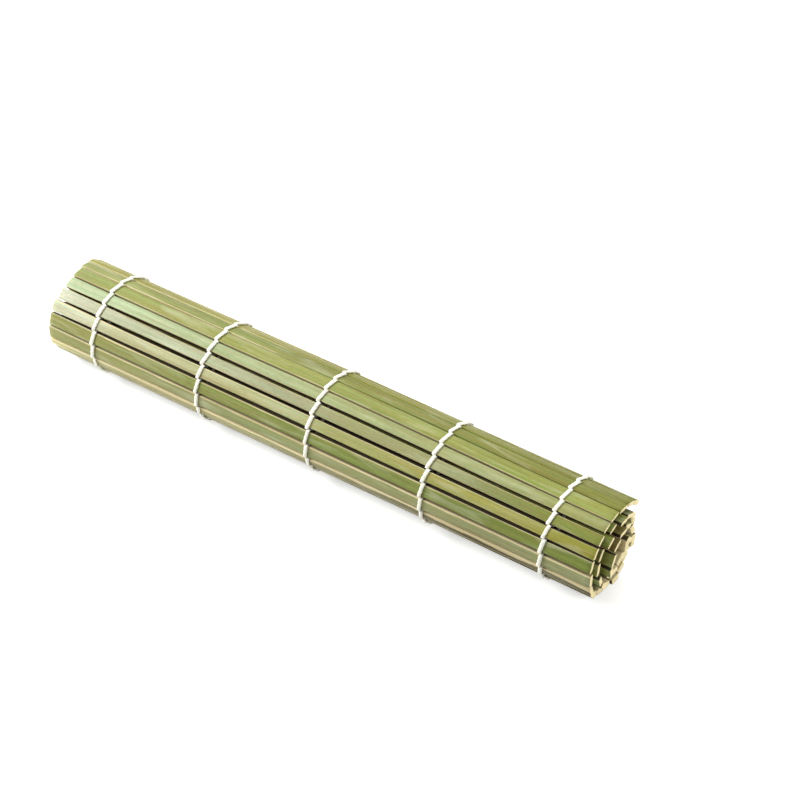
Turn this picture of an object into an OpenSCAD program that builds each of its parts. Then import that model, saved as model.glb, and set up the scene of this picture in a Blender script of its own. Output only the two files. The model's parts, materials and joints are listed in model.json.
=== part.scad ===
// Bamboo rolling mat, rolled up for storage.
// Flat bamboo slats lie side by side and are twined together by rows of cotton.
// The mat turns at the gap between each pair of slats, where the threads cross.
// X runs along the slats, Z is up and the free edge of the mat ends behind the roll.
// The origin lies under the middle twine row of the slat that faces straight down.

/* [Slats] */
// Number of slats, counted from the free outer edge to the core
slat_count = 44; // [32:1:46]
// Length of a slat
slat_length = 240; // [225:1:300]
// Thickness of a slat
slat_thickness = 2.2; // [1.8:0.1:2.3]
// Widths of mat that successive slats take up, used over and over
slat_pitches = [
    5.4, 5.4, 5.6, 5.7, 5.1, 5.1, 5.1, 5.6, 6.0,
    5.1, 5.0, 5.1, 5.1, 5.1, 5.9, 6.1, 6.0
];
// Gap between two slats when the mat is flat
slat_gap = 0.5; // [0.4:0.05:0.6]
// Chamfer on the edges that close up as the mat is rolled
inner_chamfer = 0.4; // [0.35:0.05:0.5]
// Chamfer on the edges that open as the mat is rolled
outer_chamfer = 0.2; // [0.1:0.05:0.4]

/* [Roll] */
// Depth of the folding line below the inner face
fold_depth = 0.75; // [0.7:0.05:0.9]
// Radius of the roll at its innermost folding line
core_radius = 5.7; // [5.6:0.1:7]
// Distance from one layer of the roll to the next
layer_pitch = 4.25; // [4.25:0.05:5]
// Number of the slat that faces straight down
bottom_slat = 14; // [12:1:16]
// Sideways step from each slat to the next, from rolling slightly askew
slat_shift = 0.12; // [0:0.01:0.13]
// Number of folds at the free edge that are left a little open
open_folds = 2; // [0:1:3]
// How far those folds close, against a tight roll
open_fold_share = 0.9; // [0.85:0.05:1]

/* [Twine] */
// Number of twine rows
row_count = 5; // [3:1:5]
// Distance between twine rows
row_spacing = 50; // [40:1:52]
// Width of one pass of twine over a slat
pass_width = 1.2; // [1:0.1:1.3]
// Height of one pass of twine on the face of a slat
pass_height = 0.85; // [0.6:0.05:0.85]
// Half the distance between the two threads where they cross in a gap
thread_offset = 0.7; // [0.65:0.05:0.8]
// Air left between a pass and its slat, so that they stay two solids
pass_air = 0.05; // [0.03:0.01:0.06]
// Diameter of the knot that ends a row
knot_d = 2.4; // [2:0.1:2.6]
// Length of the cut tails at a knot
tail_length = 4; // [2:0.5:4.5]

/* [Hidden] */
// How far the ends of an outer pass stay clear of the folding line
outer_pass_trim = 0.15;
// How far an inner pass stays clear of its neighbour across a closed fold
inner_pass_trim = 0.1;
// Run and drop of the slope at each end of a pass
slope_run = 0.5;
slope_drop = 0.3;
// Thickness of the loop that wraps the free edge
loop_thickness = 0.8;
// Diameter of a cut tail
tail_d = 1;
// Angles of a knot's two tails from the edge of the slat
tail_angles = [5, 30];

slat_colours = [
    "#9a9a64", "#a5a25a", "#9aa35e", "#b3c496", "#a9b596",
    "#bfbf7a", "#8fa070", "#8a9468", "#a8b07c", "#97a566", "#b5b887"
];
twine_colour = "#f2ead6";

// Depth of the folding line below the outer face
outer_depth = slat_thickness - fold_depth;
// Height of the folding line of the bottom slat above the table
rest_height = outer_depth + pass_air + pass_height;

function slat_pitch(k) = slat_pitches[(k - 1) % len(slat_pitches)];

// Distance along the mat from the free edge to the fold after slat k
fold_at = [
    for (k = 0, s = 0; k <= slat_count; k = k + 1, s = s + slat_pitch(k))
        s
];
mat_width = fold_at[slat_count];

// A layer takes the same depth all through the roll, so the square of its
// radius falls evenly along the mat
function roll_radius(s) = sqrt(pow(core_radius, 2) + layer_pitch * (mat_width - s) / PI);

// Angle between slat k and slat k + 1
function fold_angle(k) =
    (slat_pitch(k) + slat_pitch(k + 1)) / 2 / roll_radius(fold_at[k]) * 180 / PI
    * (k <= open_folds ? open_fold_share : 1);

// Heading of slat k, counted from the first slat
headings = [
    for (k = 1, a = 0; k <= slat_count; a = a + fold_angle(k), k = k + 1)
        a
];
function slat_angle(k) = headings[k - 1] - headings[bottom_slat - 1];

// Fold at the start of slat k, as [Y, Z] from the start of the first slat
starts = [
    for (k = 1, p = [0, 0]; k <= slat_count; p = p + fold_step(k), k = k + 1)
        p
];
function fold_step(k) = slat_pitch(k) * [cos(slat_angle(k)), sin(slat_angle(k))];
function slat_centre(k) = starts[k - 1] + fold_step(k) / 2;
function slat_place(k) =
    slat_centre(k) - slat_centre(bottom_slat) + [0, rest_height];

// Length that an inner pass loses at the tighter of its two folds
function closed_fold(k) = max(k > 1 ? fold_angle(k - 1) : 0, k < slat_count ? fold_angle(k) : 0);
function inner_trim(k) =
    inner_pass_trim + (fold_depth + pass_air + pass_height) * tan(closed_fold(k) / 2);

function row_x(row) = (row - (row_count + 1) / 2) * row_spacing;
function crossing_angle(k) = atan(2 * thread_offset / slat_pitch(k));
function two_digits(k) = str(k < 10 ? "0" : "", k);
function slat_name(k) = str("slat_", two_digits(k));

slat_nodes = [
    for (k = [1:slat_count])
        slat_name(k)
];
loop_nodes = [
    for (row = [1:row_count])
        str("edge_loop_", row)
];
knot_nodes = [
    for (row = [1:row_count])
        str("end_knot_", row)
];

// Puts a slat's own frame in the roll: X along the slat, Y towards the core
// along the mat, Z towards the inside of the roll, zero on the folding line
module in_roll(k) {
    place = slat_place(k);
    translate([slat_shift * (k - bottom_slat), place[0], place[1]])
        rotate([slat_angle(k), 0, 0])
            children();
}

// Solid with the given outline across the slat and the given length along it
module bar(length, outline) {
    translate([-length / 2, 0, 0])
        rotate([90, 0, 90])
            linear_extrude(length)
                polygon(outline);
}

module bamboo(k) {
    w = (slat_pitch(k) - slat_gap) / 2;
    color(slat_colours[(k - 1) % len(slat_colours)])
        bar(slat_length, [
            [-w, outer_chamfer - outer_depth],
            [outer_chamfer - w, -outer_depth],
            [w - outer_chamfer, -outer_depth],
            [w, outer_chamfer - outer_depth],
            [w, fold_depth - inner_chamfer],
            [w - inner_chamfer, fold_depth],
            [inner_chamfer - w, fold_depth],
            [-w, fold_depth - inner_chamfer]
        ]);
}

// One pass of twine across a face. It is half_length long each way, stands on
// the level base and side is 1 on the inner face and -1 on the outer face
module twine_pass(half_length, base, side) {
    low = base + side * pass_air;
    top = low + side * pass_height;
    shoulder = top - side * slope_drop;
    crown = half_length - slope_run;
    color(twine_colour)
        bar(pass_width, [
            [-half_length, low],
            [-half_length, shoulder],
            [-crown, top],
            [crown, top],
            [half_length, shoulder],
            [half_length, low]
        ]);
}

// The passes of both threads of every row over slat k
module twine_passes(k) {
    for (row = [1:row_count])
        translate([row_x(row), 0, 0]) {
            rotate([0, 0, crossing_angle(k)])
                twine_pass(slat_pitch(k) / 2 - outer_pass_trim, -outer_depth, -1);
            rotate([0, 0, -crossing_angle(k)])
                twine_pass(slat_pitch(k) / 2 - inner_trim(k), fold_depth, 1);
        }
}

module slat(k) {
    in_roll(k) {
        bamboo(k);
        twine_passes(k);
    }
}

// The bight of twine that starts a row round the free edge of the first slat
module edge_loop(row) {
    height = slat_thickness + 2 * (pass_air + pass_height);
    middle = (fold_depth - outer_depth) / 2;
    edge_y = -slat_pitch(1) / 2 - loop_thickness / 2;
    in_roll(1)
        translate([row_x(row), edge_y, middle])
            rotate([0, -atan(2 * thread_offset / slat_thickness) / 2, 0])
                color(twine_colour)
                    cube([pass_width, loop_thickness, height], center = true);
}

// The knot and cut tails that end a row past the last slat
module end_knot(row) {
    edge_y = (slat_pitch(slat_count) - slat_gap) / 2 + pass_air + knot_d / 2;
    in_roll(slat_count)
        translate([row_x(row), edge_y, 0])
            color(twine_colour)
                union() {
                    rotate([0, 90, 0])
                        cylinder(h = knot_d, d = knot_d, center = true, $fn = 8);
                    for (angle = tail_angles)
                        rotate([0, 90, angle])
                            cylinder(h = knot_d / 2 + tail_length, d = tail_d, $fn = 6);
                }
}

for (k = [1:slat_count])
    slat(k);
for (row = [1:row_count])
    edge_loop(row);
for (row = [1:row_count])
    end_knot(row);
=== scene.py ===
# Looks of the bamboo rolling mat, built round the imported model: every slat and
# every pass of twine is made again in full where the model has its plain solids.
import json
import math

import bpy
import numpy as np
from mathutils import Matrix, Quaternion, Vector

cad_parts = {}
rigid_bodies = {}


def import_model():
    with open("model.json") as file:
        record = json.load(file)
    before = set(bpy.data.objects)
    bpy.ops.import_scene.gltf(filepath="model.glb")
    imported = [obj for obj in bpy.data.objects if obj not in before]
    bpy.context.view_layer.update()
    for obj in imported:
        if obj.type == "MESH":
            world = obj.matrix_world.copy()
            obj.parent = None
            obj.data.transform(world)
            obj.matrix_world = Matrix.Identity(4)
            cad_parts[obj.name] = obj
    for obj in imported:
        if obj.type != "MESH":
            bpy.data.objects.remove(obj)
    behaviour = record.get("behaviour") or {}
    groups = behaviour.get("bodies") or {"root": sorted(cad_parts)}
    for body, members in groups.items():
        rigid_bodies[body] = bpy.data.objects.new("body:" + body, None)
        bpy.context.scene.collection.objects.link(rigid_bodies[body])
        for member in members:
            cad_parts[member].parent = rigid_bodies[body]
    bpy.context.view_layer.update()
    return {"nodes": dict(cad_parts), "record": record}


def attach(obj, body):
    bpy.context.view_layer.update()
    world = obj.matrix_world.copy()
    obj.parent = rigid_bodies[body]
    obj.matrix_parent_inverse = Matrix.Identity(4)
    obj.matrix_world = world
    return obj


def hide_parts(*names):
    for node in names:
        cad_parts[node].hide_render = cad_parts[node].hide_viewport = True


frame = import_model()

mm = 0.001

print("stage 1: camera")

camera = {
    "target": (0.0131, 0.0241, 0.0195),  # point on the roll that the view axis meets
    "distance": 0.8628,
    "azimuth": 33.37,   # turned this far to the left of straight along +Y
    "elevation": 41.79,  # looking down by this much
    "roll": 0.35,        # held this much askew
    "lens": 103.56,
    "sensor": 36.0,
}


def makeCamera(values):
    turn, tilt = math.radians(values["azimuth"]), math.radians(values["elevation"])
    forward = Vector((-math.sin(turn) * math.cos(tilt), math.cos(turn) * math.cos(tilt), -math.sin(tilt)))
    data = bpy.data.cameras.new("matCamera")
    data.lens = values["lens"]
    data.sensor_width = values["sensor"]
    data.clip_start, data.clip_end = 0.05, 20.0
    obj = bpy.data.objects.new("matCamera", data)
    held = Quaternion((0, 0, 1), math.radians(values["roll"]))
    obj.rotation_euler = (forward.to_track_quat("-Z", "Y") @ held).to_euler()
    obj.location = Vector(values["target"]) - forward * values["distance"]
    bpy.context.scene.collection.objects.link(obj)
    bpy.context.scene.camera = obj


makeCamera(camera)

print("stage 2: where each slat lies")

folds = {
    "endZone": 3.0,  # mm at each end of a slat where the model has no twine
    "driver": "unroll",
}


# The folding lines and the angle of each fold come from the record: a follower
# turns by its ratio times the range of the joint that it follows
def readFolds():
    record = frame["record"]["behaviour"]
    ratio = {c["joint"]: c["ratio"] for c in record["couplings"]}
    drive = next(j for j in record["joints"] if j["name"] == folds["driver"])
    lines, angles = {}, {}
    for joint in record["joints"]:
        pair = sorted(int(body.split("_")[1]) for body in (joint["parent"], joint["child"]))
        lines[pair[0]] = np.array(joint["pos_m"][1:]) / mm
        angles[pair[0]] = math.radians(drive["range_deg"][1] * ratio.get(joint["name"], 1.0))
    root = int(drive["parent"].split("_")[1])
    return lines, angles, root


# A slat's frame: u runs along the mat towards the core, n towards the inside of
# the roll, and zero is midway between its edges at the height of the folding line
def readSlats():
    lines, angles, root = readFolds()
    count = len(lines) + 1
    heading = {root: 0.0}
    for k in range(root, count):
        heading[k + 1] = heading[k] + angles[k]
    for k in range(root, 1, -1):
        heading[k - 1] = heading[k] - angles[k - 1]
    slats = []
    for k in range(1, count + 1):
        mesh = frame["nodes"][f"slat_{k:02d}"].data
        points = np.empty(len(mesh.vertices) * 3)
        mesh.vertices.foreach_get("co", points)
        points = points.reshape(-1, 3) / mm
        ends = points[points[:, 0] > points[:, 0].max() - folds["endZone"]][:, 1:]
        u = np.array([math.cos(heading[k]), math.sin(heading[k])])
        n = np.array([-u[1], u[0]])
        along, height = ends @ u, ends @ n
        line = lines[k] if k < count else lines[k - 1]
        zero = line @ n
        centre = (along.min() + along.max()) / 2
        slats.append({
            "index": k,
            "body": f"slat_{k:02d}",
            "heading": heading[k],
            "u": u,
            "n": n,
            "origin": u * centre + n * zero,
            "width": along.max() - along.min(),
            "outer": zero - height.min(),
            "inner": height.max() - zero,
            "half": abs(line @ u - centre),
            "x0": points[:, 0].min(),
            "x1": points[:, 0].max(),
            "xMid": (points[:, 0].min() + points[:, 0].max()) / 2,
        })
    return slats


slats = readSlats()


settle = {
    "drop": 2.6,      # mm that the top of the roll has sunk at the near end
    "from": 0.0,      # where along X that starts and is full
    "full": 115.0,
    "height": 40.0,
}


# Turns points given as x, u and n in mm into the row frame in metres; a point sinks
# with the sixth power of its height and with a smooth step towards the near end
def toRow(slat, x, u, n):
    y = slat["origin"][0] + u * slat["u"][0] + n * slat["n"][0]
    z = slat["origin"][1] + u * slat["u"][1] + n * slat["n"][1]
    t = np.clip((x - settle["from"]) / (settle["full"] - settle["from"]), 0, 1)
    z = z - settle["drop"] * t * t * (3 - 2 * t) * (z / settle["height"]) ** 6
    return np.stack(np.broadcast_arrays(x, y, z), axis=-1) * mm


# Colours are written as they look on a screen, from 0 to 255, and shaders take them linear
def screen(r, g, b):
    c = np.array([r, g, b], float) / 255
    return tuple(np.where(c <= 0.04045, c / 12.92, ((c + 0.055) / 1.055) ** 2.4))


# A mesh object from points and faces, with named values stored on its points
def makePiece(name, points, faces, material, values=None):
    mesh = bpy.data.meshes.new(name)
    mesh.from_pydata(points.reshape(-1, 3).tolist(), [], faces)
    for key, data in (values or {}).items():
        data = np.asarray(data, float)
        kind = {1: "FLOAT", 3: "FLOAT_VECTOR", 4: "FLOAT_COLOR"}[data.shape[-1] if data.ndim > 1 else 1]
        field = {"FLOAT": "value", "FLOAT_VECTOR": "vector", "FLOAT_COLOR": "color"}[kind]
        mesh.attributes.new(key, kind, "POINT").data.foreach_set(field, data.ravel())
    mesh.polygons.foreach_set("use_smooth", np.ones(len(mesh.polygons), bool))
    mesh.materials.append(material)
    mesh.update()
    obj = bpy.data.objects.new(name, mesh)
    bpy.context.scene.collection.objects.link(obj)
    return obj


# Quads of a tube of rings, each ring joined to the next and closed by a cap at both ends
def tubeFaces(rings, sides, first=0):
    i, j = np.meshgrid(np.arange(rings - 1), np.arange(sides), indexing="ij")
    a = first + i * sides + j
    b = first + i * sides + (j + 1) % sides
    quads = np.stack([a, b, b + sides, a + sides], axis=-1).reshape(-1, 4).tolist()
    start = list(range(first + sides - 1, first - 1, -1))
    end = list(range(first + (rings - 1) * sides, first + rings * sides))
    return quads + [start, end]


print("stage 3: finishes")


# A small helper for shader trees: adds a node, sets its plain inputs and joins the linked ones
def addNode(tree, kind, inputs=None, **settings):
    node = tree.nodes.new(kind)
    for key, value in settings.items():
        setattr(node, key, value)
    for key, value in (inputs or {}).items():
        socket = node.inputs[key]
        if isinstance(value, bpy.types.NodeSocket):
            tree.links.new(value, socket)
        else:
            socket.default_value = value
    return node


def newFinish(name):
    material = bpy.data.materials.new(name)
    material.use_nodes = True
    tree = material.node_tree
    tree.nodes.clear()
    shader = addNode(tree, "ShaderNodeBsdfPrincipled")
    out = addNode(tree, "ShaderNodeOutputMaterial")
    tree.links.new(shader.outputs[0], out.inputs[0])
    return material, tree, shader


def stored(tree, name):
    return addNode(tree, "ShaderNodeAttribute", attribute_name=name, attribute_type="GEOMETRY")


# Noise over a stored vector, stretched by the three factors, in steps per mm
def grainNoise(tree, vector, stretch, detail=3.0, rough=0.55, distortion=0.0):
    scaled = addNode(tree, "ShaderNodeVectorMath", {0: vector, 1: stretch}, operation="MULTIPLY")
    return addNode(tree, "ShaderNodeTexNoise", {
        "Vector": scaled.outputs[0],
        "Scale": 1.0,
        "Detail": detail,
        "Roughness": rough,
        "Distortion": distortion,
    }).outputs["Fac"]


def remap(tree, value, low, high, outLow=0.0, outHigh=1.0):
    return addNode(tree, "ShaderNodeMapRange", {
        0: value, 1: low, 2: high, 3: outLow, 4: outHigh,
    }).outputs[0]


def mixColour(tree, factor, a, b, blend="MIX"):
    node = addNode(tree, "ShaderNodeMix", data_type="RGBA", blend_type=blend)
    for index, value in ((0, factor), (6, a), (7, b)):
        if isinstance(value, bpy.types.NodeSocket):
            tree.links.new(value, node.inputs[index])
        elif index == 0:
            node.inputs[index].default_value = value
        else:
            node.inputs[index].default_value = (*value, 1.0)
    return node.outputs[2]


def multiply(tree, a, b):
    return addNode(tree, "ShaderNodeMath", {0: a, 1: b}, operation="MULTIPLY").outputs[0]


def addUp(tree, a, b):
    return addNode(tree, "ShaderNodeMath", {0: a, 1: b}, operation="ADD").outputs[0]


def larger(tree, a, b):
    return addNode(tree, "ShaderNodeMath", {0: a, 1: b}, operation="MAXIMUM").outputs[0]


# How far a pattern has risen from low to high, times a share
def rise(tree, pattern, low, high, share=1.0):
    return remap(tree, pattern, low, high, 0.0, share)


bambooFinish = {
    # each pattern's steps per mm along, across and down the slat, with its detail,
    # roughness and distortion
    "bands": ((0.012, 0.75, 0.75), 2.0),
    "streaks": ((0.02, 2.6, 2.6), 3.0),
    "fibres": ((0.09, 9.0, 9.0), 3.0, 0.65),
    "clouds": ((0.045, 0.3, 0.3), 2.0, 0.5, 0.6),
    "flecks": ((0.03, 3.2, 3.2), 2.0, 0.45),
    "drifts": ((0.016, 1.3, 1.3), 3.0, 0.6),
    "mottles": ((0.55, 1.9, 1.9), 3.0, 0.6),
    # shades that the skin is multiplied by, each with the values of its pattern between
    # which it comes in, and its full share
    "warmShade": (1.08, 0.93, 0.88),
    "warmRise": (0.5, 0.66, 0.9),
    "coolShade": (0.88, 1.02, 0.92),
    "coolRise": (0.5, 0.36, 0.9),
    "bandShade": (0.80, 0.80, 0.74),
    "bandRise": (0.35, 0.68, 1.0),
    "streakShade": (0.84, 0.86, 0.80),
    "streakRise": (0.36, 0.66, 0.9),
    "fibreShade": (0.86, 0.86, 0.82),
    "fibreRise": (0.3, 0.7, 0.8),
    "mottleShade": (0.87, 0.88, 0.85),
    "mottleRise": (0.4, 0.64, 1.0),
    # colours laid over the skin
    "bloomAndHighlight": screen(206, 210, 178),       # pale waxy bloom, partly a painted highlight
    "bloomAndHighlightRise": (0.52, 0.72, 0.3),
    "stainAndShade": screen(150, 118, 78),        # brown streaks
    "stainRise": (0.6, 0.7, 0.55),
    "ring": screen(182, 168, 120),        # scar where a leaf sheath sat
    "ringShare": 0.7,
    # split sides and inner face
    "flesh": screen(242, 232, 190),
    "fleshShade": screen(204, 187, 138),
    "fleshRise": (0.35, 0.68, 1.0),
    "fleshGreen": screen(206, 206, 150),  # what the flesh of single slats leans to
    "greenRise": (0.45, 0.0, 0.5),
    "fleshTan": screen(204, 176, 122),
    "tanRise": (0.55, 1.0, 0.45),
    "fleshFibreShade": (0.78, 0.72, 0.62),
    "fleshFibreRise": (0.35, 0.7, 0.5),
    "tintInFlesh": 0.14,
    "gapShade": screen(32, 22, 7),       # painted shade down in the gaps between slats
    "gapShadeShare": 0.95,
    "fray": (0.3, 0.7, -0.16, 0.16),      # how far fibres carry the skin's edge to and fro
    "skinEdge": (0.38, 0.62),
    # sawn ends
    "cutEnd": screen(255, 241, 190),
    "cutFibre": screen(210, 178, 120),
    "bundles": 3400.0,                    # fibre bundles per m
    "bundleEdge": (0.22, 0.42),
    "cutDepth": (0.05, 0.16),             # mm from the end over which the cut gives way
    # surface
    "weathered": (0.05, 0.14),            # skin this dark has no bloom, painted highlight or lustre, this light has all
    "specular": 0.14,
    "gloss": (0.3, 0.7, 0.34, 0.5),       # streaks, and the roughness of the skin for them
    "fleshRoughness": 0.78,
    "relief": (0.7, 0.5),                 # of fibres and of streaks
    "reliefStrength": 0.6,
    "reliefDepth": 0.00003,
}


# Skin: the slat's own tint, drifting to pink and green, darkened by three widths of
# lengthwise streak and a fine mottle, with brown stains and pale bloom, partly a painted highlight, laid
# over it.
# Flesh and sawn ends have colours of their own, chosen by the values stored on the points; the flesh of the
# sides darkens as painted shade
def makeBamboo(values):
    material, tree, shader = newFinish("splitBamboo")
    grain = stored(tree, "grain").outputs["Vector"]
    skin = stored(tree, "skin").outputs["Fac"]
    depth = stored(tree, "depth").outputs["Fac"]
    ring = stored(tree, "ring").outputs["Fac"]
    endGap = stored(tree, "endGap").outputs["Fac"]
    tint = stored(tree, "tint").outputs["Color"]
    batch = stored(tree, "tint").outputs["Alpha"]
    fresh = remap(tree, tint, *values["weathered"])
    band = grainNoise(tree, grain, *values["bands"])
    streak = grainNoise(tree, grain, *values["streaks"])
    fibre = grainNoise(tree, grain, *values["fibres"])
    cloud = grainNoise(tree, grain, *values["clouds"])
    fleck = grainNoise(tree, grain, *values["flecks"])
    drift = grainNoise(tree, grain, *values["drifts"])
    mottle = grainNoise(tree, grain, *values["mottles"])

    colour = tint
    for pattern, name in ((drift, "warm"), (drift, "cool"), (band, "band"), (streak, "streak"),
                          (fibre, "fibre"), (mottle, "mottle")):
        share = rise(tree, pattern, *values[name + "Rise"])
        colour = mixColour(tree, share, colour, values[name + "Shade"], "MULTIPLY")
    # pale patches of waxy bloom, partly a painted highlight
    bloomAndHighlight = multiply(tree, rise(tree, cloud, *values["bloomAndHighlightRise"]), fresh)
    colour = mixColour(tree, bloomAndHighlight, colour, values["bloomAndHighlight"])
    colour = mixColour(tree, rise(tree, fleck, *values["stainRise"]), colour, values["stainAndShade"])
    colour = mixColour(tree, multiply(tree, ring, values["ringShare"]), colour, values["ring"])

    flesh = mixColour(tree, rise(tree, streak, *values["fleshRise"]), values["flesh"], values["fleshShade"])
    flesh = mixColour(tree, rise(tree, batch, *values["greenRise"]), flesh, values["fleshGreen"])
    flesh = mixColour(tree, rise(tree, batch, *values["tanRise"]), flesh, values["fleshTan"])
    share = rise(tree, fibre, *values["fleshFibreRise"])
    flesh = mixColour(tree, share, flesh, values["fleshFibreShade"], "MULTIPLY")
    flesh = mixColour(tree, values["tintInFlesh"], flesh, tint)
    # painted shade in the gaps: the flesh darkens towards the gap colour by the stored depth share
    flesh = mixColour(tree, multiply(tree, depth, values["gapShadeShare"]), flesh, values["gapShade"])
    kept = addUp(tree, skin, remap(tree, fibre, *values["fray"]))
    colour = mixColour(tree, rise(tree, kept, *values["skinEdge"]), flesh, colour)

    place = addNode(tree, "ShaderNodeTexCoord").outputs["Object"]
    cells = addNode(tree, "ShaderNodeTexVoronoi", {"Vector": place, "Scale": values["bundles"]})
    bundle = rise(tree, cells.outputs["Distance"], *values["bundleEdge"])
    cut = mixColour(tree, bundle, values["cutFibre"], values["cutEnd"])
    colour = mixColour(tree, rise(tree, endGap, *values["cutDepth"]), cut, colour)

    tree.links.new(colour, shader.inputs["Base Color"])
    tree.links.new(multiply(tree, fresh, values["specular"]), shader.inputs["Specular IOR Level"])
    gloss = remap(tree, streak, *values["gloss"])
    matt = values["fleshRoughness"]
    rough = addNode(tree, "ShaderNodeMix", {0: skin, 2: matt, 3: gloss}, data_type="FLOAT")
    tree.links.new(rough.outputs[0], shader.inputs["Roughness"])
    ofFibres, ofStreaks = values["relief"]
    bump = addNode(tree, "ShaderNodeBump", {
        "Strength": values["reliefStrength"],
        "Distance": values["reliefDepth"],
        "Height": addUp(tree, multiply(tree, fibre, ofFibres), multiply(tree, streak, ofStreaks)),
    })
    tree.links.new(bump.outputs[0], shader.inputs["Normal"])
    return material


cottonFinish = {
    "fibres": ((2.2, 9.0, 3.0), 3.0, 0.6),  # patterns along and round the thread, as for bamboo
    "smudges": ((0.35, 0.8, 0.3), 2.0),
    "light": screen(255, 253, 241),
    "shade": screen(240, 234, 212),
    "grooveRise": (0.0, 1.0, 0.85),
    "fibreRise": (0.35, 0.7, 0.45),
    "soil": screen(196, 186, 140),          # green dust rubbed off the slats
    "soilRise": (0.5, 0.75, 0.15),
    "roughness": 0.9,
    "sheen": 0.35,
    "sheenRoughness": 0.5,
    "glow": 0.75,                           # share of light that passes through the fibres
    "glowDepth": 0.001,
    "glowReach": (1.0, 0.9, 0.8),           # of red, green and blue light
    "reliefStrength": 0.8,
    "reliefDepth": 0.00005,
}


# Cotton: bright on the crown of each ply, with painted shade in the groove between plies,
# and with fine fibres that run along the twist
def makeCotton(values):
    material, tree, shader = newFinish("cottonTwine")
    lay = stored(tree, "lay").outputs["Vector"]
    groove = stored(tree, "groove").outputs["Fac"]
    fibre = grainNoise(tree, lay, *values["fibres"])
    soil = grainNoise(tree, lay, *values["smudges"])
    # painted shade in the grooves between plies
    colour = mixColour(tree, rise(tree, groove, *values["grooveRise"]), values["light"], values["shade"])
    colour = mixColour(tree, rise(tree, fibre, *values["fibreRise"]), colour, values["shade"])
    colour = mixColour(tree, rise(tree, soil, *values["soilRise"]), colour, values["soil"])
    tree.links.new(colour, shader.inputs["Base Color"])
    shader.inputs["Roughness"].default_value = values["roughness"]
    shader.inputs["Sheen Weight"].default_value = values["sheen"]
    shader.inputs["Sheen Roughness"].default_value = values["sheenRoughness"]
    shader.inputs["Subsurface Weight"].default_value = values["glow"]
    shader.inputs["Subsurface Scale"].default_value = values["glowDepth"]
    shader.inputs["Subsurface Radius"].default_value = values["glowReach"]
    bump = addNode(tree, "ShaderNodeBump", {
        "Strength": values["reliefStrength"],
        "Distance": values["reliefDepth"],
        "Height": fibre,
    })
    tree.links.new(bump.outputs[0], shader.inputs["Normal"])
    return material


bamboo = makeBamboo(bambooFinish)
cotton = makeCotton(cottonFinish)

print("stage 4: slats")

slatShape = {
    "seed": 7,
    "stations": 96,
    "outerRadius": 0.3,    # mm, rounding of the edges of the skin
    "innerRadius": 0.5,
    "arcPoints": 5,
    "facePoints": 9,
    "sidePoints": 3,
    "wrap": 0.3,           # skin that is left where a rounding meets the side
    "shadeFrom": 0.05,     # how far down a side the painted shade starts and is full
    "shadeFull": 0.5,
    "hiddenFrom": 12,      # slats from this one on have painted shade on their sides right up to the skin
    "hiddenStain": (-0.2, 0.1),
    "crown": 0.14,         # how much higher the middle of the skin stands
    "edgeWave": 0.1,       # how far an edge wanders from straight, in waves about this long
    "edgeWaveLength": 120,
    "bow": 0.04,
    "bowLength": 160,
    "slant": 1.6,          # the near end was sawn a little aslant: mm longer or shorter, and
    "slantTurn": 20,       # from which heading
    "innerSlant": 0.55,    # how much of that the hidden slats have
    "nearIn": (0.9, 0.9),  # how far the near ends stand in, and by how much that varies
    "hiddenIn": (0.6, 2.2),
    "farOut": (3.0, 0.9),  # how far the hidden far ends stand out, and by how much that varies
    "farClose": 48,        # mm at the far and near ends over which the gaps change
    "nearClose": 45,
    "lean": 0.24,          # the saw leant over: how much shorter the inner face is at both ends,
    "leanEase": 6,         # and mm from the end over which that fades
    "sawMarks": 0.08,
    "bevel": 0.14,
    "ringShare": 0.3,      # share of the hidden slats that have a leaf scar
    "ringInset": 12,       # mm that a scar keeps from the ends
    "ringWidth": 0.8,
    "ringHeight": 0.07,
    "ringHollow": 0.3,     # depth of the hollows beside it against its height
    "ringRipple": 1.6,
    "ringWave": 0.5,
    "ringWaveLength": 20,
    "ringStations": 13,    # extra stations there, and how many widths they reach to each side
    "ringReach": 2.4,
    "grainShift": (400, 31, 7),  # moves the grain on from slat to slat, so that no two are alike
    # how much shorter than the model's the far and near ends of some slats are, in mm
    "farTrims": {
        1: -1.2, 2: -1.4, 3: -0.4, 4: 0.4, 5: 0.4, 6: -0.1,
        7: -1.3, 8: -1.4, 9: -1.9, 10: -2.5, 11: -1.6,
    },
    "nearTrims": {1: -2.4, 2: -1.9, 3: -0.8},
    # how much wider than the model's the gaps after some slats are at the skin, on each
    # side, in mm, at the far end, in the middle and at the near end
    "wideGaps": {
        1: (-0.12, -0.1, -0.1),
        2: (-0.12, -0.2, -0.2),
        3: (-0.12, -0.22, -0.22),
        4: (-0.12, -0.06, -0.08),
        5: (-0.12, 0.24, 0.2),
        6: (-0.12, 0.25, 0.13),
        7: (-0.12, 0.26, -0.04),
        8: (-0.12, 0.08, 0.12),
        9: (-0.12, 0.08, 0.12),
    },
}


# A slow wave between -1 and 1: three sines, as long as given and 0.6 and 0.4 of that, each
# as high as it is long, with their lengths and phases varied by chance
def slowWave(rng, x, length):
    out = np.zeros_like(x)
    for part in (1.0, 0.6, 0.4):
        turns = x / (length * part * rng.uniform(0.7, 1.4))
        out += part * np.sin(2 * math.pi * turns + rng.uniform(0, 2 * math.pi))
    return out / 2
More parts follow.
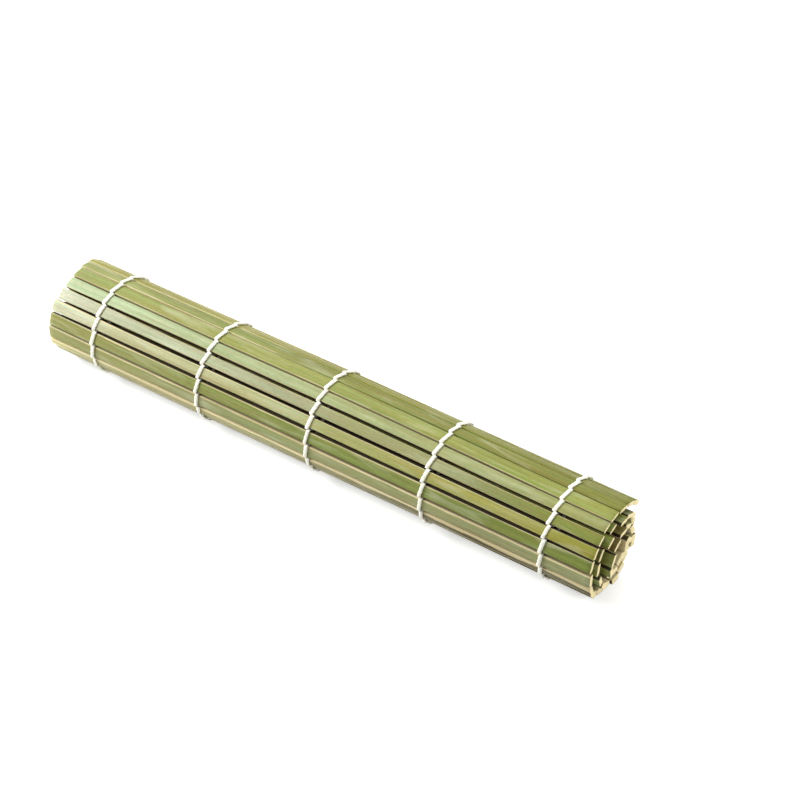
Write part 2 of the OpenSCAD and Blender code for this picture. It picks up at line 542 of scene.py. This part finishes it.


# Outline of a slat seen from its +X end, counterclockwise: a rectangle with
# round corners, each point given by u and n, with its share of skin and of painted shade
def slatOutline(values, half, outer, inner, hidden):
    ro, ri = values["outerRadius"], values["innerRadius"]
    arc = np.linspace(0, 1, values["arcPoints"]) * math.pi / 2
    parts = []

    def corner(cu, cn, r, start, skinFrom, skinTo):
        t = start + arc
        share = np.linspace(skinFrom, skinTo, len(arc))
        parts.append(np.stack([cu + r * np.cos(t), cn + r * np.sin(t), share], axis=1))

    def line(a, b, count, skin):
        t = np.linspace(0, 1, count + 2)[1:-1, None]
        between = np.array(a) * (1 - t) + np.array(b) * t
        parts.append(np.concatenate([between, np.full((count, 1), skin)], axis=1))

    corner(-half + ro, -outer + ro, ro, math.pi, values["wrap"], 1.0)
    line((-half + ro, -outer), (half - ro, -outer), values["facePoints"], 1.0)
    corner(half - ro, -outer + ro, ro, 1.5 * math.pi, 1.0, values["wrap"])
    line((half, -outer + ro), (half, inner - ri), values["sidePoints"], 0.0)
    corner(half - ri, inner - ri, ri, 0.0, 0.0, 0.0)
    line((half - ri, inner), (-half + ri, inner), values["facePoints"], 0.0)
    corner(-half + ri, inner - ri, ri, 0.5 * math.pi, 0.0, 0.0)
    line((-half, inner - ri), (-half, -outer + ro), values["sidePoints"], 0.0)
    outline = np.concatenate(parts)
    depth = outline[:, 1] + outer
    # painted shade: the sides darken with depth below the skin
    start, full = values["hiddenStain"] if hidden else (values["shadeFrom"], values["shadeFull"])
    stainAndShade = np.clip((depth - start) / (full - start), 0, 1) * np.clip((outer + inner - depth) / ri, 0, 1)
    stainAndShade *= np.abs(outline[:, 0]) > half - 0.5 * ri
    return np.concatenate([outline, stainAndShade[:, None]], axis=1)


# Stations along a slat, closer together at a leaf scar and at the sawn ends
def slatStations(values, x0, x1, scar):
    x = np.linspace(x0, x1, values["stations"])
    if scar is not None:
        spread = np.linspace(-values["ringReach"], values["ringReach"], values["ringStations"])
        x = np.concatenate([x, scar + values["ringWidth"] * spread])
    x = np.concatenate([x, [x0 + values["bevel"], x1 - values["bevel"]]])
    return np.unique(np.round(x, 4))


# How much wider the gap after slat k is on each side, at the places x along it
def gapWidening(values, k, x):
    far, middle, near = values["wideGaps"].get(k, (0, 0, 0))
    places = (x[0], x[0] + values["farClose"], x[-1] - values["nearClose"], x[-1])
    return np.interp(x, places, (far, middle, middle, near))[:, None]


# How far an edge stands in or out along X, by a slow wave
def edgeWander(values, rng, x):
    return values["edgeWave"] * (slowWave(rng, x, values["edgeWaveLength"]) - 0.5)[:, None]


slatWear = {
    "peel": (0.0, 0.06),      # share of the half width that has lost its skin at an edge
    "peelSwing": 0.6,         # how much that varies, in waves about this long
    "peelSwingLength": 60,
    "peelEdge": 0.05,         # how softly the skin ends there
    "greenFrom": 40,          # mm from the far end where the green edges start
    "greenShare": 0.7,        # skin that is left on them
    "greenSide": (0.8, 0.3),  # from how far across the slat, and how far up its side
    # Some edges are named by slat and side: -1 is the edge towards the free end.
    # Those that have lost more of their skin, as shares of the half width at the far
    # end, in the middle and at the near end
    "seenPeel": {
        (6, -1): (0.05, 0.04, 0.03),
        (7, -1): (0.14, 0.08, 0.02),
        (8, -1): (0.1, 0.1, 0.03),
        (9, -1): (0.06, 0.16, 0.2),
        (10, -1): (0.5, 0.35, 0.78),
        (11, -1): (0.2, 0.1, 0.03),
    },
    # how far free of painted shade some are, mostly at gaps that are nearly closed
    "lessShadedEdges": {
        (1, 1): 0.8, (2, -1): 0.8,
        (2, 1): 0.7, (3, -1): 0.75,
        (3, 1): 0.65, (4, -1): 0.7,
        (4, 1): 0.4, (5, -1): 0.5,
        (9, -1): 0.4, (10, -1): 1.0,
    },
    # those that keep their green towards the near end, so that the seam there is faint
    "greenEdges": {(1, 1), (2, -1), (2, 1), (3, -1), (3, 1), (4, -1)},
}


# Shares of skin and of painted shade all over a slat. The skin has come off along the edges, by
# an amount that wanders; the listed edges have less painted shade on their sides.
# The place across is given from -1 to 1, and near is 1 at the skin
def wearSkin(values, k, rng, x, across, near, share, stainAndShade):
    low, high = values["peel"]
    middle = (x[0] + x[-1]) / 2
    skin = np.repeat(share[None], len(x), axis=0)
    depth = np.repeat(stainAndShade[None], len(x), axis=0)
    for sign in (-1, 1):
        shares = values["seenPeel"].get((k, sign), (rng.uniform(low, high),) * 3)
        peel = np.interp(x, (x[0], middle, x[-1]), shares)
        peel = peel * (1 + values["peelSwing"] * slowWave(rng, x, values["peelSwingLength"]))
        skin = skin * np.clip((1 - peel[:, None] - sign * across) / values["peelEdge"] + 0.5, 0, 1)
        if (k, sign) in values["greenEdges"]:
            kept = np.interp(x, (x[0] + values["greenFrom"], middle), (0, values["greenShare"]))
            fromAcross, fromNear = values["greenSide"]
            onEdge = (sign * across > fromAcross) & (near > fromNear)
            skin = np.where(onEdge, np.maximum(skin, kept[:, None]), skin)
        # the listed edges keep less of the painted shade
        depth = depth * np.where(sign * across > 0, 1 - values["lessShadedEdges"].get((k, sign), 0), 1)
    return skin, depth


slatTones = {
    "olive": screen(137, 139, 66),
    "leaf": screen(153, 162, 82),
    "spring": screen(163, 169, 110),
    "mint": screen(195, 208, 174),
    "greyMint": screen(216, 214, 195),
    "umber": screen(136, 143, 71),
    "straw": screen(214, 216, 191),
    "hay": screen(164, 159, 65),
    "sage": screen(164, 165, 106),
    "moss": screen(132, 144, 71),
    "bark": screen(160, 162, 117),
    "hazel": screen(134, 120, 64),
    "loam": screen(108, 92, 46),
    "deepMoss": screen(104, 106, 50),
    "peat": screen(66, 54, 14),
    "gold": screen(127, 126, 19),
    "chaff": screen(238, 231, 170),
    # tones from the far to the near end of the slats that the photograph shows
    # the pale far tones of slats 5 to 7 partly hold a painted highlight, and the dark near tones of slats
    # 10 and 11 are painted shade on their undersides
    "seen": {
        1: ("hay", "gold"),
        2: ("hay", "olive"),
        3: ("spring", "olive"),
        4: ("spring", "leaf"),
        5: ("mint", "spring"),
        6: ("greyMint", "umber"),
        7: ("straw", "hay"),
        8: ("sage", "moss"),
        9: ("sage", "bark"),
        10: ("chaff", "peat"),
        11: ("bark", "peat"),
    },
    # those that the others take two of by chance, darker than the seen ones as painted shade for the inside
    # of the roll
    "hidden": ("olive", "umber", "hazel", "loam", "deepMoss", "moss", "deepMoss"),
    "fade": 0.65,             # below 1 the far tone gives way sooner
    "wander": 0.15,           # how unevenly it gives way
    "wanderLength": 110,
    "swing": 0.05,            # how much the tone lightens and darkens on the way
    "swingLength": 70,
    "batchSpread": (0.4, 1),  # how far flesh leans to green or tan on seen and hidden slats
}


# Tone along a slat, from its far to its near one, and with it as a fourth value the
# batch, by which the flesh leans to green or tan
def slatTint(values, slat, rng, x):
    k = slat["index"]
    farTone, nearTone = values["seen"].get(k, tuple(rng.choice(values["hidden"], 2)))
    along = (x - slat["x0"]) / (slat["x1"] - slat["x0"])
    along = along + values["wander"] * slowWave(rng, x, values["wanderLength"])
    blend = np.clip(along, 0, 1)[:, None] ** values["fade"]
    level = 1 + values["swing"] * slowWave(rng, x, values["swingLength"])[:, None]
    tint = (np.array(values[farTone]) * (1 - blend) + np.array(values[nearTone]) * blend) * level
    seen, hidden = values["batchSpread"]
    batch = 0.5 + (rng.random() - 0.5) * (seen if k in values["seen"] else hidden)
    return np.concatenate([tint, np.full((len(x), 1), batch)], axis=1)


# Surface of a slat: its outline carried along X. The edges wander in slow waves, the skin
# falls with the square of the distance from its middle, a scar rises as a bell curve with
# a ripple, and at both ends the inner face draws back on a straight slope, as the saw leant
def makeSlat(slat, values):
    k = slat["index"]
    hidden = k >= values["hiddenFrom"]
    rng = np.random.default_rng(values["seed"] * 1000 + k)
    farOut, ragged = values["farOut"]
    x0 = slat["x0"] + values["farTrims"].get(k, rng.uniform(0, ragged) - farOut)
    slant = values["slant"] * math.sin(slat["heading"] + math.radians(values["slantTurn"]))
    slant *= values["innerSlant"] if hidden else 1
    nearIn, ragged = values["hiddenIn"] if hidden else values["nearIn"]
    x1 = slat["x1"] - nearIn - slant - values["nearTrims"].get(k, 0) - rng.uniform(0, ragged)
    scar = None
    if rng.random() < values["ringShare"] and hidden:
        scar = rng.uniform(x0 + values["ringInset"], x1 - values["ringInset"])
    x = slatStations(values, x0, x1, scar)
    outline = slatOutline(values, slat["width"] / 2, slat["outer"], slat["inner"], hidden)
    u, n, share, stainAndShade = outline.T
    across = u[None] / (slat["width"] / 2)

    near = ((slat["inner"] - n) / (slat["inner"] + slat["outer"]))[None]
    leftEdge = edgeWander(values, rng, x) - gapWidening(values, k - 1, x) * near
    rightEdge = edgeWander(values, rng, x) - gapWidening(values, k, x) * near
    uu = u[None] + across * np.where(across > 0, rightEdge, leftEdge)
    crown = values["crown"] * across ** 2 * (n < -slat["outer"] + values["outerRadius"] + 1e-6)
    nn = n[None] + crown + values["bow"] * slowWave(rng, x, values["bowLength"])[:, None]
    bump = np.zeros_like(x)
    if scar is not None:
        wave = values["ringWave"] * slowWave(rng, x, values["ringWaveLength"])
        away = (x - scar + wave) / values["ringWidth"]
        bump = np.exp(-away ** 2) * np.cos(values["ringRipple"] * away)
    nn = nn - values["ringHeight"] * np.clip(bump, -values["ringHollow"], 1)[:, None] * share[None]
    nn = np.clip(nn, -slat["outer"], slat["inner"])
    xx = np.repeat(x[:, None], len(u), axis=1)

    # the first and last rings stand in by the bevel, with saw marks
    middle = (slat["inner"] - slat["outer"]) / 2
    for ring, sign in ((0, 1), (-1, -1)):
        uu[ring] -= uu[ring] * values["bevel"] / (slat["width"] / 2)
        nn[ring] += (middle - nn[ring]) * values["bevel"] / slat["outer"]
        xx[ring] += sign * values["sawMarks"] * rng.random(len(u))

    skin, depth = wearSkin(slatWear, k, rng, x, across, near, share, stainAndShade)
    tint = slatTint(slatTones, slat, rng, x)

    toEnd = np.minimum(x - x0, x1 - x)
    lean = np.clip(1 - toEnd / values["leanEase"], 0, 1)[:, None] * values["lean"] * (1 - near)
    outward = np.sign(x - (x0 + x1) / 2)[:, None]
    points = toRow(slat, xx - outward * lean, uu, nn)

    rings, sides = xx.shape
    step = np.hypot(np.diff(u, append=u[0]), np.diff(n, append=n[0]))
    around = np.concatenate([[0], np.cumsum(step)[:-1]])
    shift = np.array(values["grainShift"]) * k
    grain = np.stack(np.broadcast_arrays(xx + shift[0], around[None] + shift[1], shift[2]), axis=-1)
    endGap = np.minimum(xx - x0, x1 - xx)
    endGap[[0, -1]] = 0.0

    piece = makePiece(f"bamboo_{k:02d}", points, tubeFaces(rings, sides), bamboo, {
        "grain": grain.reshape(-1, 3),
        "skin": skin.ravel(),
        "depth": depth.ravel(),
        "ring": np.repeat(np.clip(bump, 0, 1), sides),
        "endGap": endGap.ravel(),
        "tint": np.repeat(tint, sides, axis=0),
    })
    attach(piece, slat["body"])
    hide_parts(slat["body"])


for slat in slats:
    makeSlat(slat, slatShape)

print("stage 5: twine")

twine = {
    "seed": 21,
    "rows": 5,
    "spacing": 50.0,
    "offset": 0.44,        # half the step between the threads in a gap
    "wander": 0.3,         # how far a row strays sideways
    "wanderRun": 5,        # slats over which that is evened out
    "square": 9.0,         # how squarely a thread turns over the edges of a slat
    "thick": 0.43,         # half thickness on a face
    "wide": 0.8,           # half width on a face
    "gapThick": 0.25,      # the same where it is nipped between two slats
    "gapWide": 0.6,
    "swellFrom": 0.35,     # share of its height at which it starts to swell again, and is full
    "swellFull": 0.85,
    "fatter": 0.05,        # how much the width varies
    "stations": 30,
    "sides": 18,
    "plies": 3,
    "plyDepth": 0.13,
    "plySharp": 1.5,       # above 1 the grooves between the plies are narrow
    "twist": 0.175,        # turns of the plies per mm of thread
    "layRound": 1.2,       # mm of the fibre pattern to an angle of 1 round the thread
    "archPoints": 240,
    "phases": 6,           # most that a thread's twist starts turned by
}


# How far each row strays at each fold: chance steps evened out over a few slats
def strayRows(values):
    run = values["wanderRun"]
    steps = np.random.default_rng(values["seed"]).normal(0, 1, (values["rows"], len(slats) + run))
    return np.array([np.convolve(row, np.ones(run) / run, "valid") for row in steps]) * values["wander"]


rowStray = strayRows(twine)


# Where a row crosses the fold before slat k, in mm along X
def rowPlace(row, k):
    before, after = slats[max(k - 2, 0)], slats[min(k - 1, len(slats) - 1)]
    middle = (before["xMid"] + after["xMid"]) / 2
    return middle + (row - (twine["rows"] - 1) / 2) * twine["spacing"] + rowStray[row, k - 1]


# How far along a path each of its points lies
def pathSteps(path):
    return np.concatenate([[0], np.cumsum(np.linalg.norm(np.diff(path, axis=0), axis=1))])


# Points spaced evenly along a path
def evenly(path, count):
    step = pathSteps(path)
    at = np.linspace(0, step[-1], count)
    return np.stack([np.interp(at, step, axis) for axis in path.T], axis=1)


# A thread: an ellipse of three bulging plies carried along a path given as x, u
# and n, its width lying as near to X as it can, turned on by the twist as it goes
def threadTube(path, thick, wide, values, phase=0.0):
    tangent = np.gradient(path, axis=0)
    tangent /= np.linalg.norm(tangent, axis=1)[:, None]
    across = np.array([1.0, 0, 0]) - tangent * tangent[:, :1]
    across /= np.linalg.norm(across, axis=1)[:, None]
    lift = np.cross(tangent, across)
    step = pathSteps(path)
    turn = phase + 2 * math.pi * values["twist"] * step
    angle = np.linspace(0, 2 * math.pi, values["sides"], endpoint=False)
    ply = 0.5 + 0.5 * np.cos(values["plies"] * (angle[None] - turn[:, None]))
    radius = 1 - values["plyDepth"] * (1 - ply) ** values["plySharp"]
    sideways = np.cos(angle)[None] * radius * wide[:, None]
    upwards = np.sin(angle)[None] * radius * thick[:, None]
    out = path[:, None] + across[:, None] * sideways[..., None] + lift[:, None] * upwards[..., None]
    around = (angle[None] - turn[:, None]) * values["layRound"]
    lay = np.stack(np.broadcast_arrays(step[:, None], around, phase), axis=-1)
    return out, 1 - ply, lay


# One pass over a slat: a squared-off arch that starts and ends on the folding
# lines, so that it meets the next slat's thread there however the mat is bent
def passPath(slat, side, xStart, xEnd, values):
    reach = slat["half"]
    height = (slat["inner"] if side > 0 else slat["outer"]) + values["thick"]
    t = np.linspace(0, math.pi, values["archPoints"])
    power = 2 / values["square"]
    u = -reach * np.sign(np.cos(t)) * np.abs(np.cos(t)) ** power
    n = side * height * np.abs(np.sin(t)) ** power
    x = xStart + (xEnd - xStart) * (u + reach) / (2 * reach)
    path = evenly(np.stack([x, u, n], axis=1), values["stations"])
    share = np.abs(path[:, 2]) / height - values["swellFrom"]
    share = np.clip(share / (values["swellFull"] - values["swellFrom"]), 0, 1)
    share = share * share * (3 - 2 * share)
    thick = values["gapThick"] + (values["thick"] - values["gapThick"]) * share
    wide = values["gapWide"] + (values["wide"] - values["gapWide"]) * share
    return path, thick, wide


# Collects tubes into one mesh, with the values that the finish reads
def bundle(name, slat, tubes):
    points, faces, groove, lay = [], [], [], []
    first = 0
    for out, gap, fibre in tubes:
        points.append(toRow(slat, out[..., 0], out[..., 1], out[..., 2]).reshape(-1, 3))
        faces += tubeFaces(out.shape[0], out.shape[1], first)
        groove.append(gap.ravel())
        lay.append(fibre.reshape(-1, 3))
        first += out.shape[0] * out.shape[1]
    piece = makePiece(name, np.concatenate(points), faces, cotton,
                      {"groove": np.concatenate(groove), "lay": np.concatenate(lay)})
    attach(piece, slat["body"])
    return piece


def makePasses(slat, values):
    k = slat["index"]
    rng = np.random.default_rng(values["seed"] * 1000 + k)
    tubes = []
    for row in range(values["rows"]):
        start, end = rowPlace(row, k), rowPlace(row, k + 1)
        for side in (-1, 1):
            first, last = start - side * values["offset"], end + side * values["offset"]
            path, thick, wide = passPath(slat, side, first, last, values)
            wide = wide * (1 + values["fatter"] * rng.normal())
            tubes.append(threadTube(path, thick, wide, values, rng.uniform(0, values["phases"])))
    piece = bundle(f"twine_{k:02d}", slat, tubes)
    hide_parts(slat["body"])


for slat in slats:
    makePasses(slat, twine)

edgeLoop = {
    "stations": 14,
    "bulge": 0.2,   # mm past the folding line at its middle
    "reach": 0.75,  # above and below that line
    "thick": 0.36,
    "wide": 0.52,
}


# The bight round the free edge: it crosses the edge on a slant from the outer
# pass to the inner one, and bulges a little
def makeEdgeLoop(row, values):
    slat = slats[0]
    t = np.linspace(0, math.pi, values["stations"])
    middle = rowPlace(row, 1)
    path = np.stack([middle + twine["offset"] * np.cos(t), -slat["half"] - values["bulge"] * np.sin(t),
                     -values["reach"] * np.cos(t)], axis=1)
    thick = np.full(len(t), values["thick"])
    wide = np.full(len(t), values["wide"])
    piece = bundle(f"edgeBight_{row + 1}", slat, [threadTube(path, thick, wide, twine, row)])
    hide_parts(f"edge_loop_{row + 1}")


endKnot = {
    "size": 0.3,        # mm, half the size of the knot's inner loops
    "height": 1.4,      # its height against that
    "thread": 0.34,
    "out": 1.35,        # how far past the edge the knot sits
    "tail": 4.4,
    "tailAngles": (5, 30),
    "tailStart": 0.4,   # to the side of the knot's middle
    "tailBend": 0.3,    # how far the cut ends lift apart
    "fluff": 0.35,      # how much thicker they are
    "stations": 60,
    "tailStations": 14,
}


# The knot that ends a row: a thread that runs three times round and through
# itself, with two cut tails that splay and fluff out a little
def makeEndKnot(row, values):
    slat = slats[-1]
    middle, edge = rowPlace(row, slat["index"] + 1), slat["width"] / 2 + values["out"]
    t = np.linspace(0, 2 * math.pi, values["stations"])
    size = values["size"]
    knot = np.stack([middle + size * (np.sin(t) + 2 * np.sin(2 * t)),
                     edge + size * (np.cos(t) - 2 * np.cos(2 * t)),
                     -size * values["height"] * np.sin(3 * t)], axis=1)
    even = np.full(len(t), values["thread"])
    tubes = [threadTube(knot, even, even, twine, row)]
    for number, angle in enumerate(values["tailAngles"]):
        s = np.linspace(0, 1, values["tailStations"])
        way = math.radians(angle)
        bend = values["tailBend"] * (1 if number else -1) * s ** 2
        tail = np.stack([middle + values["tail"] * s * math.cos(way) + values["tailStart"],
                         edge + values["tail"] * s * math.sin(way), bend], axis=1)
        fluff = values["thread"] * (1 + values["fluff"] * s ** 4)
        tubes.append(threadTube(tail, fluff, fluff, twine, row + number))
    piece = bundle(f"endKnotTwine_{row + 1}", slat, tubes)
    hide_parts(f"end_knot_{row + 1}")


for row in range(twine["rows"]):
    makeEdgeLoop(row, edgeLoop)
    makeEndKnot(row, endKnot)

print("stage 6: floor and light")

studio = {
    "floorSize": 6.0,
    "floorDrop": 0.0001,
    "floorColour": (0.80, 0.80, 0.79),
    "floorShade": (0.7, 0.7, 0.69),
    "floorClouds": 9.0,
    "floorRise": (0.3, 0.7, 0.04),
    "floorLift": 0.55,  # light that the floor adds of its own where it is seen
    "world": 0.3,       # light from all round; where it is seen it is white
    "keyPower": 12.5,
    "keyPlace": (-0.74, -0.42, 0.68),
    "keySize": 0.42,
    "topPower": 3.4,
    "topPlace": (-0.1, 0.4, 0.75),
    "topSize": 0.6,
    "fillPower": 3.4,
    "fillPlace": (0.88, 0.25, 0.42),
    "fillSize": 0.3,
    "aim": (0, 0, 0.02),
}


# 1 for rays that come from the camera or by way of something shiny or clear, else 0
def seenDirectly(tree):
    path = addNode(tree, "ShaderNodeLightPath").outputs
    seen = larger(tree, path["Is Camera Ray"], path["Is Glossy Ray"])
    return larger(tree, seen, path["Is Transmission Ray"])


def makeFloor(values):
    material = bpy.data.materials.new("paleTable")
    material.use_nodes = True
    tree = material.node_tree
    tree.nodes.clear()
    place = addNode(tree, "ShaderNodeTexCoord").outputs["Object"]
    cloud = addNode(tree, "ShaderNodeTexNoise", {
        "Vector": place, "Scale": values["floorClouds"], "Detail": 4.0,
    }).outputs["Fac"]
    share = rise(tree, cloud, *values["floorRise"])
    colour = mixColour(tree, share, values["floorColour"], values["floorShade"])
    plain = addNode(tree, "ShaderNodeBsdfDiffuse", {"Color": colour})
    glow = multiply(tree, seenDirectly(tree), values["floorLift"])
    lift = addNode(tree, "ShaderNodeEmission", {"Strength": glow})
    both = addNode(tree, "ShaderNodeAddShader", {0: plain.outputs[0], 1: lift.outputs[0]})
    out = addNode(tree, "ShaderNodeOutputMaterial")
    tree.links.new(both.outputs[0], out.inputs[0])
    half = values["floorSize"] / 2
    corners = np.array([(-half, -half, 0), (half, -half, 0), (half, half, 0), (-half, half, 0)], float)
    corners[:, 2] -= values["floorDrop"]
    floor = makePiece("table", corners, [[0, 1, 2, 3]], material)


# A square lamp whose power, place and size stand among the values under its name
def makeLamp(name, values):
    data = bpy.data.lights.new(name, "AREA")
    data.energy = values[name + "Power"]
    data.size = values[name + "Size"]
    obj = bpy.data.objects.new(name, data)
    obj.location = values[name + "Place"]
    aim = Vector(values["aim"]) - Vector(values[name + "Place"])
    obj.rotation_euler = aim.to_track_quat("-Z", "Y").to_euler()
    bpy.context.scene.collection.objects.link(obj)


def makeWorld(values):
    world = bpy.data.worlds.new("studio")
    bpy.context.scene.world = world
    world.use_nodes = True
    tree = world.node_tree
    tree.nodes.clear()
    strength = remap(tree, seenDirectly(tree), 0.0, 1.0, values["world"], 1.0)
    background = addNode(tree, "ShaderNodeBackground", {"Color": (1, 1, 1, 1), "Strength": strength})
    out = addNode(tree, "ShaderNodeOutputWorld")
    tree.links.new(background.outputs[0], out.inputs[0])


makeFloor(studio)
makeWorld(studio)
for lamp in ("key", "top", "fill"):
    makeLamp(lamp, studio)
bpy.context.scene.view_settings.view_transform = "Standard"

print("stage 7: done")
